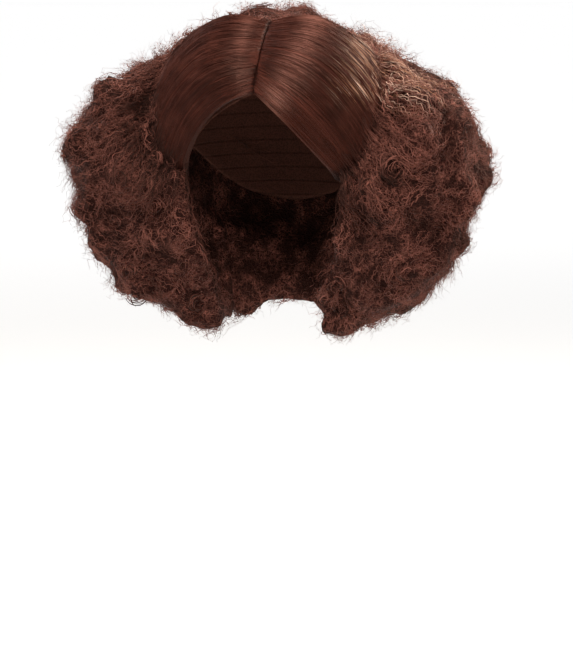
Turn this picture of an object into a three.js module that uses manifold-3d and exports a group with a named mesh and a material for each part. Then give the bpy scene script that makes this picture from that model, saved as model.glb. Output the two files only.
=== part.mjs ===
// Afro wig with a centre parting: a hollow cap, combed front wings and frizzed curls at the sides,
// back and crown.
// Millimetres, +Z up. The wearer faces -Y and has +X at the left hand.
// The origin is the highest point inside the cap, which rests on the top of the head.
import * as THREE from "three";
import { mergeVertices } from "three/addons/utils/BufferGeometryUtils.js";
import Module from "manifold-3d";

const wasm = await Module();
wasm.setup();

// Head that the cap fits: an egg about the level where it is widest
const headWidth = 152;
const headLength = 194;
const crownHeight = 95; // from the widest level up to the top of the head
const napeDepth = 120; // the same egg's reach below the widest level

// Cap and parting
const capWall = 1.5;
const partingGap = 3;
const partingThickness = 1;
const partingRear = 60; // elevation in degrees where the parting ends on the crown
const hairline = 32; // elevation of the front hairline
const crownEdge = 86; // elevation where the combed hair ends on top

// Frizzed hair
const hairWidth = 388; // over the widest locks
const hairBack = 158; // from the axis of the head to the rearmost locks
const lockRing = 17; // radius that a lock's middle line follows
const lockThickness = 23;
const lockTurn = 250; // degrees of a ring that a lock makes
const lockStand = 10; // how far a lock stands out of the mass that it is fused to
const leftDrop = 0.015; // how much further the wearer's left side hangs, as a share of its radius
const crownSplit = 38; // elevation where the crown's curls meet those below
const backSplit = 128; // azimuth where the side curls meet the back curls

// Combed front wings
const wingDepth = 45; // from the cap out to the fullest point of a wing
const combRidges = 8;
const ridgeDepth = 1.6;

// Rolled curls beside the wearer's left cheek
const curlTurn = 330;
const pocketDepth = 16;

// Gaps and mesh steps
const clearance = 0.3;
const degree = Math.PI / 180;
const capSteps = { around: 28, down: 7 };
const headSteps = { around: 28, down: 14 };
const massSteps = { around: 34, down: 17 };
const wingSteps = { across: 2 * combRidges, along: 6 };

const hairHalfWidth = hairWidth / 2;
const headCentre = new THREE.Vector3(0, 0, -crownHeight);
// How far a flat facet lies inside the round head that its corners touch
const facetSag = (headLength / 2) * (1 - Math.cos(Math.PI / headSteps.around)) * 2;
const capClearance = capWall + clearance + facetSag;
const farOut = 2 * hairWidth;

// Edge of the cap: elevation of the hem at each azimuth, the same on both sides
const hemLine = [
  { azimuth: 0, elevation: 33 },
  { azimuth: 32, elevation: 15 },
  { azimuth: 52, elevation: -6 },
  { azimuth: 70, elevation: -17 },
  { azimuth: 86, elevation: -3 },
  { azimuth: 104, elevation: -3 },
  { azimuth: 125, elevation: -16 },
  { azimuth: 150, elevation: -29 },
  { azimuth: 180, elevation: -33 },
];

// Outline of the frizzed mass: side is a share of half the hair's width, back of its rear reach
const hairProfile = [
  { elevation: 90, side: 0.61, back: 0.749 },
  { elevation: 75, side: 0.62, back: 0.81 },
  { elevation: 60, side: 0.64, back: 0.87 },
  { elevation: 45, side: 0.67, back: 0.925 },
  { elevation: 34, side: 0.73, back: 0.955 },
  { elevation: 26, side: 0.77, back: 0.97 },
  { elevation: 20, side: 0.855, back: 0.975 },
  { elevation: 14, side: 0.94, back: 0.98 },
  { elevation: 8, side: 0.97, back: 0.985 },
  { elevation: -2, side: 0.995, back: 0.985 },
  { elevation: -13, side: 1, back: 0.99 },
  { elevation: -26, side: 1, back: 1.015 },
  { elevation: -39, side: 1, back: 1.04 },
  { elevation: -51, side: 0.98, back: 1.06 },
  { elevation: -63, side: 0.945, back: 1.06 },
  { elevation: -76, side: 0.9, back: 1.05 },
  { elevation: -90, side: 0.86, back: 1.02 },
];
const frontStart = 35; // azimuth where the mass dips inside the head
const frontShare = 0.42; // radius there, as a share of the side's
const dipTop = 70; // elevation above which the mass doesn't dip
const dipFull = 35; // elevation below which it dips in full
const rearStart = 95; // azimuth where the side's outline begins to turn into the back's

// Room for the face and neck, at each depth below the origin as a share of the crown's height.
// Half width at the ears and at the mouth of the opening, as shares of the head's width, and reach
// to the rear as a share of its length
const passage = [
  { depth: 1.02, half: 0.46, mouth: 0.45, rear: 0.4 },
  { depth: 1.37, half: 0.46, mouth: 0.44, rear: 0.475 },
  { depth: 1.58, half: 0.455, mouth: 0.41, rear: 0.435 },
  { depth: 1.8, half: 0.43, mouth: 0.38, rear: 0.375 },
  { depth: 2.0, half: 0.4, mouth: 0.35, rear: 0.325 },
  { depth: 2.2, half: 0.34, mouth: 0.28, rear: 0.3 },
  { depth: 2.47, half: 0.32, mouth: 0.245, rear: 0.31 },
  { depth: 2.76, half: 0.33, mouth: 0.265, rear: 0.34 },
  { depth: 3.2, half: 0.36, mouth: 0.3, rear: 0.39 },
];
const mouthDistance = 75; // from the ears forward to where mouth is measured
const mouthShift = 6; // the mouth lies this far towards the wearer's left
const passageReach = 3 * mouthDistance;
const passageSides = 16;
const onAxis = 1e-6; // a share of a radius that counts as none

// Strands of a wing run from the parting to this line, from the hairline (0) to the crown (1)
const wingEnd = [
  { share: 0, azimuth: 50, elevation: -14 },
  { share: 0.33, azimuth: 59, elevation: -4 },
  { share: 0.66, azimuth: 71, elevation: 16 },
  { share: 1, azimuth: 93, elevation: 41 },
];
// Depth of a wing at its parting, middle and end, as shares of wingDepth
const wingBody = [
  { share: 0, parting: 0.08, middle: 0.15, end: 0.2 },
  { share: 0.33, parting: 0.1, middle: 0.5, end: 0.54 },
  { share: 0.66, parting: 0.2, middle: 0.61, end: 0.72 },
  { share: 0.84, parting: 0.28, middle: 0.63, end: 0.76 },
  { share: 1, parting: 0.38, middle: 0.68, end: 0.94 },
];
const wingMiddle = 0.4; // share of a strand's run where the middle column holds
// How far the hairline bows up from the straight run, in degrees: the right side is lifted more
const wingBow = { left: -3, right: 7 };

// Rows of locks: each runs from one azimuth round the back to the same azimuth on the other side
const lockRows = [
  { elevation: 76, from: 125 },
  { elevation: 57, from: 107 },
  { elevation: 39, from: 96 },
  { elevation: 21, from: 78 },
  { elevation: 4, from: 63 },
  { elevation: -13, from: 58 },
  { elevation: -30, from: 53 },
  { elevation: -47, from: 49 },
  { elevation: -65, from: 45 },
];
const lockSpacing = 61; // along a row
const goldenTurn = 137.5; // degrees between one lock's turn and the next's

// Rolled curls: where each sits on the mass, its ring radius and thickness, and where its gap is
const rolledCurls = [
  { name: "rolled_curl_temple", azimuth: 59, elevation: -6, ring: 9.5, thickness: 10, turn: 130 },
  { name: "rolled_curl_cheek", azimuth: 52, elevation: -13, ring: 5.5, thickness: 7, turn: 20 },
];
const curlFacing = 28; // azimuth that the rolled curls' open sides face

const hairColour = new THREE.Color(0x46281f);
const materials = {
  cap: new THREE.MeshStandardMaterial({ color: 0x2a1a17, roughness: 0.9, metalness: 0 }),
  parting: new THREE.MeshStandardMaterial({ color: 0x2b1714, roughness: 0.8, metalness: 0 }),
  combed: new THREE.MeshStandardMaterial({ color: hairColour, roughness: 0.4, metalness: 0 }),
  frizzed: new THREE.MeshStandardMaterial({ color: hairColour, roughness: 0.65, metalness: 0 }),
};

// Unit vector at an azimuth from the front, towards the wearer's left, and an elevation
function heading(azimuth, elevation) {
  const level = Math.cos(elevation * degree);
  return new THREE.Vector3(
    level * Math.sin(azimuth * degree),
    -level * Math.cos(azimuth * degree),
    Math.sin(elevation * degree),
  );
}

function azimuthOf(direction) {
  return Math.atan2(direction.x, -direction.y) / degree;
}

function elevationOf(direction) {
  return Math.asin(THREE.MathUtils.clamp(direction.z, -1, 1)) / degree;
}

// Value of a column between a table's rows, carried on in a straight line past its ends
function lookUp(rows, key, at, column) {
  const rising = rows[0][key] < rows[rows.length - 1][key];
  let i = 1;
  while (i < rows.length - 1 && (rising ? at > rows[i][key] : at < rows[i][key])) i++;
  const [a, b] = [rows[i - 1], rows[i]];
  return a[column] + ((b[column] - a[column]) * (at - a[key])) / (b[key] - a[key]);
}

function headRadius(direction) {
  const tall = direction.z > 0 ? crownHeight : napeDepth;
  return 1 / Math.hypot(direction.x / (headWidth / 2), direction.y / (headLength / 2), direction.z / tall);
}

function hairRadius(direction) {
  const azimuth = Math.abs(azimuthOf(direction));
  const elevation = elevationOf(direction);
  const side = lookUp(hairProfile, "elevation", elevation, "side") * hairHalfWidth;
  const back = lookUp(hairProfile, "elevation", elevation, "back") * hairBack;
  const rearward = THREE.MathUtils.smoothstep(azimuth, rearStart, 180);
  const forward = THREE.MathUtils.clamp((azimuth - frontStart) / (90 - frontStart), 0, 1);
  const dip = (1 - frontShare) * (1 - Math.sin(forward * 90 * degree));
  const front = 1 - dip * (1 - THREE.MathUtils.smoothstep(elevation, dipFull, dipTop));
  const drop = 1 + leftDrop * Math.max(direction.x, 0) * Math.max(-direction.z, 0) * 2;
  return (side + (back - side) * rearward) * front * drop - lockStand;
}

// Point of the mass under a lock, and the way that its surface faces there
function hairPlace(azimuth, elevation) {
  const at = (turn, rise) => {
    const direction = heading(azimuth + turn, elevation + rise);
    return direction.multiplyScalar(hairRadius(direction)).add(headCentre);
  };
  const step = 4;
  const round = at(step, 0).sub(at(-step, 0));
  const up = at(0, step).sub(at(0, -step));
  return { origin: at(0, 0), normal: up.cross(round).normalize().negate() };
}

// Azimuths along a row, evenly spread by their distance on the mass
function rowAzimuths({ elevation, from }) {
  const step = 2;
  const reach = [0];
  for (let azimuth = from + step; azimuth <= 360 - from; azimuth += step) {
    const moved = hairPlace(azimuth, elevation).origin.distanceTo(hairPlace(azimuth - step, elevation).origin);
    reach.push(reach[reach.length - 1] + moved);
  }
  const whole = reach[reach.length - 1];
  const count = Math.round(whole / lockSpacing);
  const azimuths = [];
  for (let i = 0; i <= count; i++) {
    azimuths.push(from + step * reach.findIndex((length) => length >= (whole * i) / count));
  }
  return azimuths;
}

// A solid from a closed geometry whose corners are moved to where place says
function solidOf(geometry, place) {
  const bare = geometry.clone();
  bare.deleteAttribute("normal");
  bare.deleteAttribute("uv");
  const merged = mergeVertices(bare, 1e-4);
  const corners = merged.getAttribute("position");
  const corner = new THREE.Vector3();
  for (let i = 0; i < corners.count; i++) {
    const placed = place(corner.fromBufferAttribute(corners, i));
    corners.setXYZ(i, placed.x, placed.y, placed.z);
  }
  const index = [...merged.index.array];
  const faces = [];
  for (let i = 0; i < index.length; i += 3) {
    const [a, b, c] = index.slice(i, i + 3);
    if (a !== b && b !== c && c !== a) faces.push([a, b, c]);
  }
  const made = manifoldFrom(corners.array, faces);
  return made.volume() > 0 ? made : manifoldFrom(corners.array, faces.map(([a, b, c]) => [a, c, b]));
}

function manifoldFrom(vertProperties, faces) {
  const triVerts = new Uint32Array(faces.flat());
  return new wasm.Manifold(new wasm.Mesh({ numProp: 3, vertProperties, triVerts }));
}

function meshFrom(name, solid, material) {
  const { vertProperties, triVerts } = solid.getMesh();
  const geometry = new THREE.BufferGeometry();
  geometry.setAttribute("position", new THREE.BufferAttribute(vertProperties, 3));
  geometry.setIndex(new THREE.BufferAttribute(triVerts, 1));
  geometry.computeVertexNormals();
  const mesh = new THREE.Mesh(geometry, material);
  mesh.name = name;
  return mesh;
}

// A closed ball about the head's centre whose radius follows a function of the direction
function roundSolid(radius, steps = massSteps) {
  const ball = new THREE.SphereGeometry(1, steps.around, steps.down).rotateX(90 * degree);
  return solidOf(ball, (corner) => {
    const direction = corner.clone().normalize();
    return direction.multiplyScalar(radius(direction)).add(headCentre);
  });
}

// The cap: a round plate one unit thick, its middle laid on the crown and its rim on the hem
function capSolid() {
  const profile = [];
  for (let i = 0; i <= capSteps.down; i++) profile.push(new THREE.Vector2(i / capSteps.down, 0));
  for (let i = capSteps.down; i >= 0; i--) profile.push(new THREE.Vector2(i / capSteps.down, 1));
  const plate = new THREE.LatheGeometry(profile, capSteps.around);
  return solidOf(plate, (corner) => {
    const azimuth = Math.atan2(corner.x, corner.z) / degree;
    const hem = lookUp(hemLine, "azimuth", Math.abs(azimuth), "elevation");
    const elevation = 90 - (90 - hem) * Math.hypot(corner.x, corner.z);
    const direction = heading(azimuth, elevation);
    return direction.multiplyScalar(headRadius(direction) + corner.y * capWall).add(headCentre);
  });
}

// Direction of a wing's point: share runs from hairline to crown, run from the parting to the end
function wingHeading(side, share, run, slot) {
  const rise = hairline + (crownEdge - hairline) * share;
  const closed = THREE.MathUtils.smoothstep(rise, partingRear + 2, partingRear + 12);
  const from = heading(0, rise);
  from.x = (slot * (1 - closed) + Math.sign(slot) * clearance * closed) / headLength;
  from.normalize();
  const to = heading(lookUp(wingEnd, "share", share, "azimuth"), lookUp(wingEnd, "share", share, "elevation"));
  const angle = from.angleTo(to);
  const direction = from
    .multiplyScalar(Math.sin(angle * (1 - run)))
    .addScaledVector(to, Math.sin(angle * run))
    .normalize();
  const bow = wingBow[side] * Math.sin(Math.PI * run) * (1 - share) ** 2;
  const bowed = heading(azimuthOf(direction), elevationOf(direction) + bow);
  if (side === "right") bowed.x = -bowed.x;
  return bowed;
}

function wingThickness(share, run) {
  const column = (name) => lookUp(wingBody, "share", share, name) * wingDepth;
  const inner = THREE.MathUtils.smoothstep(run, 0, wingMiddle);
  const outer = THREE.MathUtils.smoothstep(run, wingMiddle, 1);
  const smooth = column("parting") * (1 - inner) + column("middle") * (inner - outer) + column("end") * outer;
  const ridge = Math.abs(Math.sin(share * combRidges * Math.PI)) - 1;
  return smooth + ridge * ridgeDepth * Math.min(1, smooth / (wingDepth * 0.3));
}

// The block of directions that a wing fills, between two radii; spread widens it past its edges
function wingBlock(side, slot, spread, innerRadius, outerRadius) {
  const block = new THREE.BoxGeometry(1, 1, 1, wingSteps.across, wingSteps.along, 1);
  return solidOf(block, (corner) => {
    const share = 0.5 + corner.x * (1 + 2 * spread);
    const run = (0.5 + corner.y) * (1 + spread);
    const direction = wingHeading(side, share, run, slot);
    const radius = corner.z > 0 ? outerRadius(direction, share, run) : innerRadius(direction);
    return direction.multiplyScalar(radius).add(headCentre);
  });
}

function wingSolid(side, headRoom) {
  const inside = (direction) => headRadius(direction) * 0.8;
  const outside = (direction, share, run) =>
    headRadius(direction) + capClearance + wingThickness(THREE.MathUtils.clamp(share, 0, 1), run);
  return wingBlock(side, partingGap, 0, inside, outside).subtract(headRoom);
}

// Strip of cap fabric that shows between the wings
function partingSolid() {
  const strip = new THREE.BoxGeometry(partingGap - 2 * clearance, 1, 1, 1, wingSteps.along, 1);
  const [front, rear] = [hairline + 1, partingRear];
  return solidOf(strip, (corner) => {
    const direction = heading(0, front + (rear - front) * (0.5 + corner.y));
    const seat = headRadius(direction) + capClearance - facetSag / 2;
    const radius = seat + (0.5 + corner.z) * partingThickness;
    return direction.multiplyScalar(radius).add(headCentre).setX(corner.x);
  });
}

// Room for the face and neck, open to the front and below
function passageSolid() {
  const tube = new THREE.CylinderGeometry(1, 1, 1, passageSides, passage.length - 1);
  return solidOf(tube, (corner) => {
    const { depth, half, mouth, rear } = passage[Math.round((0.5 - corner.y) * (passage.length - 1))];
    const z = -depth * crownHeight;
    if (corner.z < 0) return new THREE.Vector3(corner.x * half * headWidth, -corner.z * rear * headLength, z);
    const forward = (corner.z * passageReach) / mouthDistance;
    const side = Math.abs(corner.x) < onAxis ? 0 : Math.sign(corner.x);
    const x = side * (half + (mouth - half) * forward) * headWidth + mouthShift * forward;
    return new THREE.Vector3(x, -corner.z * passageReach, z);
  });
}

// A capsule bent round a ring that lies on the surface at origin, its two ends dipping below it
function bentLock({ origin, normal, turn, ring, thickness, arc, lift, dip, sides, steps }) {
  const straight = 2;
  const capsule = new THREE.CapsuleGeometry(1, straight, 1, sides, steps);
  const across = new THREE.Vector3(0, 0, 1).cross(normal).normalize().applyAxisAngle(normal, turn * degree);
  const along = normal.clone().cross(across);
  return solidOf(capsule, (corner) => {
    const run = 0.5 + corner.y / (straight + 2);
    const angle = (run - 0.5) * arc * degree;
    const outward = across.clone().multiplyScalar(Math.cos(angle)).addScaledVector(along, Math.sin(angle));
    const taper = (0.45 + 0.55 * Math.sin(run * Math.PI)) * (thickness / 2);
    const height = lift - dip * (2 * run - 1) ** 2 + corner.z * taper;
    return origin
      .clone()
      .addScaledVector(outward, ring + corner.x * taper)
      .addScaledVector(normal, height);
  });
}

function frizzLocks() {
  const locks = [];
  for (const row of lockRows) {
    for (const azimuth of rowAzimuths(row)) {
      const size = 0.9 + 0.1 * (locks.length % 4);
      const thickness = lockThickness * size;
      locks.push(
        bentLock({
          ...hairPlace(azimuth, row.elevation),
          turn: goldenTurn * locks.length,
          ring: lockRing * size,
          thickness,
          arc: lockTurn,
          lift: lockStand - thickness / 2,
          dip: thickness / 6,
          sides: 5,
          steps: 4,
        }),
      );
    }
  }
  return locks;
}

function curlPlace({ azimuth, elevation }) {
  const towards = heading(azimuth, elevation);
  const origin = towards.multiplyScalar(hairRadius(towards)).add(headCentre);
  return { origin, normal: heading(curlFacing, 0) };
}

function rolledCurl(curl) {
  const { normal, origin } = curlPlace(curl);
  const { ring, thickness, turn } = curl;
  return bentLock({
    origin, normal, turn, ring, thickness, arc: curlTurn, lift: 0, dip: thickness / 4, sides: 6, steps: 14,
  });
}

// The pocket that a rolled curl sits in, open to the outside
function curlPocket(curl) {
  const { normal, origin } = curlPlace(curl);
  const { ring, thickness } = curl;
  const sides = 16;
  const radius = (ring + thickness / 2 + clearance) / Math.cos(Math.PI / sides);
  const floor = -thickness / 2 - clearance;
  const cylinder = new THREE.CylinderGeometry(radius, radius, 1, sides, 1);
  const turned = new THREE.Quaternion().setFromUnitVectors(new THREE.Vector3(0, 1, 0), normal);
  return solidOf(cylinder, (corner) => {
    const height = corner.y < 0 ? floor : pocketDepth;
    return corner.clone().setY(height).applyQuaternion(turned).add(origin);
  });
}

// Everything above a cone about the head's centre, raised by lift
function coneAbove(elevation, lift) {
  const cone = new THREE.ConeGeometry(farOut, farOut * Math.tan(elevation * degree), 48).rotateX(-90 * degree);
  const middle = (farOut * Math.tan(elevation * degree)) / 2;
  return solidOf(cone, (corner) => corner.clone().add(headCentre).setZ(corner.z + middle + headCentre.z + lift));
}

// Everything behind two upright planes that meet on the axis, moved back by shift
function wedgeBehind(azimuth, shift) {
  const outline = new THREE.Shape();
  const reach = farOut * Math.sin(azimuth * degree);
  const rear = -farOut * Math.cos(azimuth * degree);
  outline.moveTo(0, 0).lineTo(reach, rear).lineTo(reach, farOut).lineTo(-reach, farOut).lineTo(-reach, rear);
  const wedge = new THREE.ExtrudeGeometry(outline, { depth: 2 * farOut, bevelEnabled: false });
  return solidOf(wedge, (corner) => corner.clone().add(new THREE.Vector3(0, shift, -farOut)));
}

function sideBox(sign) {
  const box = new THREE.BoxGeometry(farOut, 2 * farOut, 2 * farOut);
  return solidOf(box, (corner) => corner.clone().add(new THREE.Vector3((sign * (farOut + clearance)) / 2, 0, 0)));
}

// The whole frizzed mass with its locks, cleared of the head, the face, the wings and the curls
function frizzedMass(headRoom) {
  const openSector = (side) =>
    wingBlock(side, -partingGap, 0.006, () => crownHeight / 2, () => farOut);
  const cuts = [headRoom, passageSolid(), openSector("left"), openSector("right"), ...rolledCurls.map(curlPocket)];
  const whole = frizzLocks().reduce((mass, lock) => mass.add(lock), roundSolid(hairRadius));
  return cuts.reduce((mass, cut) => mass.subtract(cut), whole);
}

// The largest body of a cut solid, without the crumbs that a cut leaves beside it
function mainBody(solid) {
  return solid.decompose().sort((a, b) => b.volume() - a.volume())[0];
}

const headRoom = roundSolid((direction) => headRadius(direction) + capClearance, headSteps);
const mass = frizzedMass(headRoom);
const upper = coneAbove(crownSplit, clearance / 2);
const lower = mass.subtract(coneAbove(crownSplit, -clearance / 2));
const rear = wedgeBehind(backSplit, clearance / 2);
const sides = lower.subtract(wedgeBehind(backSplit, -clearance / 2));

const wig = new THREE.Group();
wig.add(
  meshFrom("cap", capSolid(), materials.cap),
  meshFrom("parting_strip", partingSolid(), materials.parting),
  meshFrom("swept_wing_left", wingSolid("left", headRoom), materials.combed),
  meshFrom("swept_wing_right", wingSolid("right", headRoom), materials.combed),
  meshFrom("crown_curls", mainBody(mass.intersect(upper)), materials.frizzed),
  meshFrom("side_curls_left", mainBody(sides.intersect(sideBox(1))), materials.frizzed),
  meshFrom("side_curls_right", mainBody(sides.intersect(sideBox(-1))), materials.frizzed),
  meshFrom("back_curls", mainBody(lower.intersect(rear)), materials.frizzed),
  ...rolledCurls.map((curl) => meshFrom(curl.name, rolledCurl(curl), materials.combed)),
);

export default wig;
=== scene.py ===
import math

import bpy
import numpy as np
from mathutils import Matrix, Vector, kdtree, noise
from mathutils.bvhtree import BVHTree


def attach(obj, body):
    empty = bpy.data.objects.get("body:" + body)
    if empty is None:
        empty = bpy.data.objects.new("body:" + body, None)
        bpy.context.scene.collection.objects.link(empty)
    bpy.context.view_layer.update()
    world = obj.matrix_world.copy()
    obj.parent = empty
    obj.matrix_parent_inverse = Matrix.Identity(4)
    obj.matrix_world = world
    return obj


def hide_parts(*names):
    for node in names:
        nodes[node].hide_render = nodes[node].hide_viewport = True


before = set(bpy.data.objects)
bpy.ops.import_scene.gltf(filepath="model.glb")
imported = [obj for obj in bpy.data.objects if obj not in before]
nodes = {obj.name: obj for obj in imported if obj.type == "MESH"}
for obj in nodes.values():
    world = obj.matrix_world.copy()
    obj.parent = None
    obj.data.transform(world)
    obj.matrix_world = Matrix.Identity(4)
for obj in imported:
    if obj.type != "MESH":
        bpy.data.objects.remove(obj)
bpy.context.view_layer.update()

# Camera, fitted to the photo: the wig seen from a little above and from the wearer's left
VIEW_AZIMUTH = math.radians(12)
VIEW_ELEVATION = math.radians(5)
VIEW_DISTANCE = 4.0
METRES_PER_PIXEL = 0.000872
PHOTO_WIDTH = 573
PHOTO_HEIGHT = 665
SENSOR_MM = 36
WIG_PIXEL = (274.5, 175)  # where the photo shows the point of the wig that the camera is fitted to
WIG_POINT = Vector((0, 0, -0.12))

# Head and hair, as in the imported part
HEAD_CENTRE = Vector((0, 0, -0.095))
HAIRLINE = 32  # degrees of elevation where the combed hair starts at the front
CROWN_EDGE = 86  # and where it ends on the crown
PARTING_OFFSET = 0.004  # sideways shift of a wing's start, as a share of its distance from the centre
CAP_HEM = -0.15  # no frizz grows towards the head above this height
TEMPLE_SOURCE = (0.045, -0.03, -0.01)  # the frizz flows away from here, mirrored for the other side
WING_END = ((0, 50, -14), (0.33, 59, -4), (0.66, 71, 16), (1, 93, 41))  # share, azimuth, elevation
WING_BOW = {"left": -3, "right": 7}  # degrees that a wing's front edge bows upwards
WING_STEP = 0.003
PARTING_CLOSING = 0.0032  # how far the wings' rounded edges are drawn together over the parting
PARTING_SLOT = 0.0005  # what is left of it on each side
PARTING_REACH = 0.012  # how far from the middle that goes on
REAR_ROUNDING = 0.006  # how far a wing draws in towards the frizz behind it
END_ROUNDING = 0.0035  # and at its end above the temple
REACH_SHARES = np.linspace(0.015, 0.985, 60)  # where a wing's outside is measured
REACH_RUNS = np.linspace(0.02, 0.975, 50)
REACH_ROUNDS = 40  # rounds that even it out
OUT_OF_REACH = 0.3  # further from the head's centre than any hair

# Hair, in metres
STRAND_SIDES = 3
CORE_STEP = 0.005
LOBE_HEIGHT = 0.006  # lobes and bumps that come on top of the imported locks
LOBE_SCALE = 28
BUMP_HEIGHT = 0.0022
BUMP_SCALE = 95
CORE_SINK = 0.0018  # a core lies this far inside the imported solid
WALL_GAIN = 0.003  # but swells by this where it stands upright beside the face
HOLLOW_REACH = 12  # rounds of smoothing that the hollows are measured against
FRIZZ_CLUMP = 12  # strands that share a direction
TAIL_CLUMP = 9
LEAST = 1e-9
LYING = {  # frizz that covers a mass
    "radius": 0.00031,
    "length": (0.012, 0.019),
    "gather": 0.5,
    "start": (-0.0008, 0.002),
    "rise": (0.0005, 0.005),
    "crimp": 0.0011,
    "wave": 0.0063,
    "least tone": 0.0,
}
FLYAWAY = {  # fine frizz that stands out of a mass
    "radius": 0.00017,
    "length": (0.008, 0.0145),
    "gather": 0.15,
    "start": (0.0, 0.001),
    "rise": (0.0015, 0.0115),
    "crimp": 0.0013,
    "wave": 0.0046,
    # painted light: a raised least tone makes this fine frizz lighter, as if lit through
    "least tone": 0.35,
}
TUFT = {  # wisps that stand out further in a few places
    "radius": 0.00016,
    "length": (0.014, 0.025),
    "gather": 0.15,
    "start": (0.0, 0.001),
    "rise": (0.004, 0.017),
    "crimp": 0.0019,
    "wave": 0.0056,
    # painted light: a raised least tone makes these wisps lighter, as if lit through
    "least tone": 0.4,
}
TUFT_SPOTS = (  # centre and reach
    ((-0.119, 0.02, -0.018), 0.026),
    ((0.09, 0.03, -0.01), 0.018),
    ((-0.18, 0.01, -0.085), 0.024),
)
GAP_START = 0.012
GAP_DEPTH = 0.005  # gaps between masses that are deeper than this are covered with frizz
COMBED_RADIUS = 0.00028
EDGE_STRANDS = 0.08  # share of the combed strands that lie on the wing's front edge
START_CROWDING = 1.4  # above 1, a combed strand's points lie closer together at the parting
TAIL_RADIUS = 0.0003
TAIL_LENGTH = (0.03, 0.07)
TAIL_CRIMP = 0.0011
TAIL_WAVE = 0.0078
CLEARING = 0.02  # how far above a tail the masses are looked for
BRIDGE_STEP = 0.009  # closes the gaps between pieces where tails pass over them
CURL_STRAND_RADIUS = 0.00055
CURL_BODY = 0.65  # what a rolled curl's body keeps of its thickness under the strands
RINGLET_RING = (0.0035, 0.0065)
RINGLET_THICKNESS = 0.6  # as a share of the ring
RINGLET_STRANDS = 14
RINGLET_POINTS = 10
CURL_FACING = 28  # degrees of azimuth that the rolled curls' open ends face
GROOVE_SHADE = {"left": 0.25, "right": 0.8}  # how much painted shade darkens the tails where a wing meets the side curls
FLOOR_HEIGHT = -0.6
PAINTED_HIGHLIGHT_BAND = {  # a painted highlight: the lighter band where the combed hair turns over beside the parting
    "left": {"start": 0.17, "slant": 0.18, "width": 0.08, "level": 1.0},
    "right": {"start": 0.09, "slant": 0.07, "width": 0.042, "level": 0.5},
}
PAINTED_GLINT_START = (0.05, -0.065)  # the painted rim-light glints lie further to the left and higher than this
PAINTED_GLINT_FADE = (0.03, 0.02)
PAINTED_GLINT_REAR = 0.05  # and no further back, where it is frizzed
SEED = 41


def deselect():
    bpy.ops.object.select_all(action="DESELECT")


def make_active(piece):
    deselect()
    piece.select_set(True)
    bpy.context.view_layer.objects.active = piece


def apply_modifiers(piece):
    make_active(piece)
    for modifier in list(piece.modifiers):
        bpy.ops.object.modifier_apply(modifier=modifier.name)


def copy_of_node(node, name):
    """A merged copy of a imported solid, as the start of the piece that replaces it."""
    piece = nodes[node].copy()
    piece.data = nodes[node].data.copy()
    piece.name = name
    piece.data.name = name
    bpy.context.scene.collection.objects.link(piece)
    piece.parent = None
    for key in list(piece.keys()):
        del piece[key]
    piece.hide_render = False
    piece.hide_viewport = False
    piece.data.materials.clear()
    make_active(piece)
    bpy.ops.object.mode_set(mode="EDIT")
    bpy.ops.mesh.select_all(action="SELECT")
    bpy.ops.mesh.remove_doubles(threshold=0.00001)
    bpy.ops.object.mode_set(mode="OBJECT")
    return piece


def corners_of(mesh):
    places = np.empty(len(mesh.vertices) * 3, np.float32)
    mesh.vertices.foreach_get("co", places)
    return places.reshape(-1, 3).astype(float)


def set_corners(mesh, places):
    mesh.vertices.foreach_set("co", places.astype(np.float32).ravel())
    mesh.update()


def surface_of(piece):
    return BVHTree.FromObject(piece, bpy.context.evaluated_depsgraph_get())


# Shader maths


class Value:
    """A shader socket that Python's operators work on, each by one Math node."""

    def __init__(self, look, socket):
        self.look = look
        self.socket = socket

    def maths(self, operation, *values):
        return self.look.node("Math", {"operation": operation}, dict(enumerate(values)))

    def __add__(self, other):
        return self.maths("ADD", self, other)

    def __radd__(self, other):
        return self.maths("ADD", other, self)

    def __sub__(self, other):
        return self.maths("SUBTRACT", self, other)

    def __rsub__(self, other):
        return self.maths("SUBTRACT", other, self)

    def __mul__(self, other):
        return self.maths("MULTIPLY", self, other)

    def __rmul__(self, other):
        return self.maths("MULTIPLY", other, self)


class Look:
    """A material under construction."""

    def __init__(self, name):
        self.material = bpy.data.materials.new(name)
        self.material.use_nodes = True
        self.tree = self.material.node_tree
        self.shader = self.tree.nodes["Principled BSDF"]

    def node(self, kind, settings, values, output=0):
        """Adds a shader node with its settings, then its values or links, and gives one output."""
        made = self.tree.nodes.new("ShaderNode" + kind)
        for key, setting in settings.items():
            setattr(made, key, setting)
        for key, value in values.items():
            self.put(made.inputs[key], value)
        return Value(self, made.outputs[output])

    def put(self, socket, value):
        if isinstance(value, Value):
            self.tree.links.new(value.socket, socket)
        elif isinstance(value, tuple) and socket.type == "RGBA":
            socket.default_value = (*value, 1)
        else:
            socket.default_value = value

    def set(self, **values):
        for key, value in values.items():
            self.put(self.shader.inputs[key.replace("_", " ")], value)

    def mix(self, factor, low, high):
        return self.node("Mix", {"data_type": "RGBA"}, {0: factor, 6: low, 7: high}, 2)

    def ramp(self, value, low, high):
        """Goes from 0 to 1 as the value goes from low to high."""
        settings = {"clamp": True, "interpolation_type": "SMOOTHSTEP"}
        values = {"Value": value, "From Min": low, "From Max": high}
        return self.node("MapRange", settings, values)

    def place(self):
        return self.node("TexCoord", {}, {}, "Object")

    def noise(self, scale, detail=2, vector=None):
        values = {"Scale": scale, "Detail": detail, "Vector": vector or self.place()}
        return self.node("TexNoise", {}, values)

    def attribute(self, name):
        return self.node("Attribute", {"attribute_name": name}, {}, "Fac")

    def bump(self, height, strength, distance):
        values = {"Height": height, "Strength": strength, "Distance": distance}
        self.set(Normal=self.node("Bump", {}, values))


# Looks, with colours as linear red, green and blue

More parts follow.
